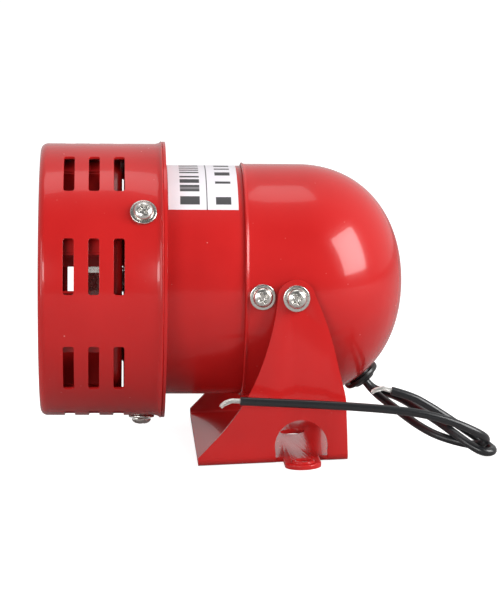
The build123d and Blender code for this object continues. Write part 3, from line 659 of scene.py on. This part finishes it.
def makeLabel():
    shape = bmesh.new()
    layer = shape.loops.layers.uv.new("print")
    long, wide = label["long"], label["wide"]
    radius = neck["radius"] + label["stand"]
    grid = []
    for i in range(wide + 1):
        x = label["front"] + (label["rear"] - label["front"]) * i / wide
        row = []
        for j in range(long + 1):
            turn = math.radians(label["start"] + (label["end"] - label["start"]) * j / long)
            row.append(shape.verts.new((x * mm, -radius * mm * math.cos(turn), radius * mm * math.sin(turn))))
        grid.append(row)
    for i in range(wide):
        for j in range(long):
            corners = ((i, j), (i + 1, j), (i + 1, j + 1), (i, j + 1))
            face = shape.faces.new([grid[a][b] for a, b in corners])
            for loop, (a, b) in zip(face.loops, corners):
                loop[layer].uv = (a / wide, b / long)
    shape.transform(sirenFrame)
    mesh = finishMesh(shape, "name_label_film")
    piece = newPiece("name_label_film", mesh, "label_film", "siren", "name_label")
    thicken(piece, label["thick"], label["edge"])


makeLabel()
print("label made")


screw = {"head": 3.1, "height": 2.2, "crown": 2.6, "edge": 0.55, "shank": 1.95, "pitch": 0.7,
         "armWidth": 0.42, "armLength": 1.75, "armWall": 0.16, "depth": 1.25,
         "heart": (0.55, 0.95), "turns": 72, "rings": 26}
coverScrew = {"x": -47.4, "angles": (36.0, 156.0, 276.0), "base": 44.0, "shank": 5.4, "washer": 4.15}
casingScrew = {"x": -10.3, "angles": (0.0, 180.0), "base": 37.7, "shank": 5.6, "washer": 4.05}
pivotScrew = {"x": 0.0, "angles": (0.0, 180.0), "base": 40.54, "shank": 8.3, "washer": 4.15}
washer = {"inner": 2.15, "thick": 0.8, "edge": 0.2}


def outward(angle, height, x):    # a place on the siren, local +Z pointing away from its axis
    turn = Matrix.Rotation(math.radians(90 - angle), 4, "X")
    return sirenFrame @ Matrix.Translation((x * mm, 0, 0)) @ turn @ Matrix.Translation((0, 0, height * mm))


def smoothStep(low, high, value):
    share = min(1.0, max(0.0, (value - low) / (high - low)))
    return share * share * (3 - 2 * share)


def headHeight(x, y):    # the crowned top with its cross recess, in mm
    radius = math.hypot(x, y)
    crown = math.sqrt(max(0.0, 1 - (radius / screw["head"]) ** screw["crown"]))
    top = screw["edge"] + (screw["height"] - screw["edge"]) * crown
    width, length = screw["armWidth"], screw["armLength"]
    arms = []
    for along, across in ((abs(x), abs(y)), (abs(y), abs(x))):
        taper = width * (1 - 0.25 * along / length)
        beside = 1 - smoothStep(taper, taper + screw["armWall"], across)
        arms.append(beside * (1 - smoothStep(length - 0.35, length + 0.1, along)))
    middle = 1 - smoothStep(*screw["heart"], radius)
    return top - screw["depth"] * max(max(arms) * (1 - 0.3 * radius / length), middle)


def ringOf(shape, place, radius, height):    # a turned ring at a height above the seat
    ring = []
    for turn in range(screw["turns"] if radius else 1):
        angle = 2 * math.pi * turn / screw["turns"]
        spot = Vector((radius * math.cos(angle) * mm, radius * math.sin(angle) * mm, height * mm))
        ring.append(shape.verts.new(place @ spot))
    return ring


def addScrew(shape, place, shankLength, twist):
    turns, rings = screw["turns"], screw["rings"]
    cosine, sine = math.cos(twist), math.sin(twist)
    rows = [ringOf(shape, place, 0.0, headHeight(0, 0))]
    for ring in range(1, rings + 1):
        radius = screw["head"] * math.sin(math.pi / 2 * ring / rings)
        row = []
        for turn in range(turns):
            angle = 2 * math.pi * turn / turns
            x, y = radius * math.cos(angle), radius * math.sin(angle)
            turned = Vector((x * cosine - y * sine, x * sine + y * cosine, headHeight(x, y))) * mm
            row.append(shape.verts.new(place @ turned))
        rows.append(row)
    profile = [(screw["head"], 0.12), (screw["head"] - 0.12, 0.0), (screw["shank"] + 0.1, 0.0)]
    for thread in range(int(shankLength / screw["pitch"])):
        start = -thread * screw["pitch"]
        profile += [(screw["shank"] - 0.3, start - 0.1), (screw["shank"], start - screw["pitch"] * 0.5)]
    profile += [(screw["shank"] - 0.4, -shankLength + 0.02), (0.0, -shankLength)]
    rows += [ringOf(shape, place, radius, height) for radius, height in profile]
    joinRings(shape, rows, turns)


def addWasher(shape, place, outer):
    inner, thick, edge = washer["inner"], washer["thick"], washer["edge"]
    profile = [(inner, 0.05), (outer - 0.1, 0.0), (outer, 0.1), (outer, thick - edge),
               (outer - edge * 0.3, thick - edge * 0.3), (outer - edge, thick), (inner + 0.1, thick),
               (inner, thick - 0.1)]
    rows = [ringOf(shape, place, radius, height) for radius, height in profile]
    joinRings(shape, rows + rows[:1], screw["turns"])


def makeScrewSet(name, facts):
    screws, washers = bmesh.new(), bmesh.new()
    for index, angle in enumerate(facts["angles"]):
        seat = outward(angle, facts["base"] + washer["thick"], facts["x"])
        addScrew(screws, seat, facts["shank"], 0.5 + index * 1.1)
        addWasher(washers, outward(angle, facts["base"], facts["x"]), facts["washer"])
    for shape, kind in ((screws, "screws"), (washers, "washers")):
        node = name + "_" + kind
        newPiece(node + "_turned", finishMesh(shape, node + "_turned"), "zinc_steel", "siren", node)


makeScrewSet("cover", coverScrew)
makeScrewSet("casing", casingScrew)
makeScrewSet("pivot", pivotScrew)
print("screws made")


bracket = {"edge": 0.22, "weld": 0.005, "flatWithin": 0.5, "sharpOver": 38}


def makeBracket():    # the folded sheet with its cut edges rounded off by the paint
    shape = bmesh.new()
    shape.from_mesh(frame["nodes"]["u_bracket"].data)
    bmesh.ops.remove_doubles(shape, verts=shape.verts, dist=bracket["weld"] * mm)
    bmesh.ops.dissolve_limit(shape, angle_limit=math.radians(bracket["flatWithin"]), verts=shape.verts,
                             edges=shape.edges)
    mesh = finishMesh(shape, "u_bracket_painted")
    piece = newPiece("u_bracket_painted", mesh, "red_paint", "bracket", "u_bracket")
    roundEdges(piece, bracket["edge"], bracket["sharpOver"])


makeBracket()
print("bracket made")


slotOf = {part["node"]: part["material_slot"] for part in frame["record"]["subparts"]}


def coatCadNodes():
    for name, node in frame["nodes"].items():
        for holder in node.material_slots:
            holder.material = finishes[slotOf[name]]


coatCadNodes()
print("CAD nodes coated")


studio = {"floor": shade(0.45, 0.45, 0.45), "glow": 0.86, "table": shade(0.42, 0.41, 0.41),
          "fleck": shade(0.4, 0.4, 0.4), "size": 45.0, "paperDrop": 0.0002, "tableDrop": 0.0004,
          "back": shade(0.66, 0.66, 0.66), "front": shade(0.12, 0.12, 0.12), "backdrop": shade(1.0, 1.0, 1.0),
          "strength": 1.0}
lamps = {    # place, aim, width, height, watts
    "key_box": ((0.64, -0.35, 0.40), (0.0, 0.0, 0.05), 0.46, 0.52, 8.8),
    "left_box": ((-0.72, -0.40, 0.22), (0.0, 0.0, 0.05), 0.25, 0.50, 1.9),
    "top_box": ((-0.05, 0.10, 0.95), (0.0, 0.0, 0.05), 0.55, 0.35, 1.2),
    "front_box": ((-0.55, -1.00, 0.34), (0.0, 0.0, 0.05), 0.50, 0.30, 5.4),
}


def laySheet(name, colour, glow, drop):
    finish = Finish(name)
    grain = finish.noise(40.0, 4.0)
    finish.set(Base_Color=finish.blend(grain * 0.04, colour, studio["fleck"]), Roughness=0.85 + grain * 0.05,
               Specular_IOR_Level=0.1, Emission_Color=shade(1, 1, 1), Emission_Strength=glow)
    shape = bmesh.new()
    bmesh.ops.create_grid(shape, x_segments=16, y_segments=16, size=studio["size"])
    mesh = finishMesh(shape, name, smooth=False)
    mesh.materials.append(finish.material)
    sheet = bpy.data.objects.new(name, mesh)
    sheet.location = (0, 0, -drop)
    bpy.context.scene.collection.objects.link(sheet)
    return sheet


def makeFloor():    # white paper to look at, and a greyer table that the paint reflects
    paper = laySheet("floor_paper", studio["floor"], studio["glow"], studio["paperDrop"])
    paper.visible_diffuse = False
    paper.visible_glossy = False
    paper.visible_shadow = False
    table = laySheet("table_top", studio["table"], 0.0, studio["tableDrop"])
    table.visible_camera = False


def softLamp(name, spot, aim, wide, tall, power):
    data = bpy.data.lights.new(name, "AREA")
    data.shape = "RECTANGLE"
    data.size = wide
    data.size_y = tall
    data.energy = power
    lamp = bpy.data.objects.new(name, data)
    spot, aim = Vector(spot), Vector(aim)
    lamp.matrix_world = Matrix.Translation(spot) @ (spot - aim).to_track_quat("Z", "Y").to_matrix().to_4x4()
    bpy.context.scene.collection.objects.link(lamp)


def makeWorld():    # dim in front, brighter behind, with a soft step between
    world = bpy.data.worlds.new("studio")
    world.use_nodes = True
    bpy.context.scene.world = world
    sky = Finish("studio", world.node_tree, "BACKGROUND")
    ahead = sky.add("ShaderNodeSeparateXYZ", {}, (sky.out("Generated"),), output=1)
    stops = ((0.25, studio["front"]), (0.62, studio["back"]))
    dim = sky.add("ShaderNodeValToRGB", {"stops": stops}, (ahead * 0.5 + 0.5,))
    shown = sky.blend(sky.add("ShaderNodeLightPath"), dim, studio["backdrop"])    # white to look at
    sky.set(Color=shown, Strength=studio["strength"])


makeFloor()
makeWorld()
for name, (spot, aim, wide, tall, power) in lamps.items():
    softLamp(name, spot, aim, wide, tall, power)
bpy.context.scene.view_settings.view_transform = "Standard"
print("studio lit")
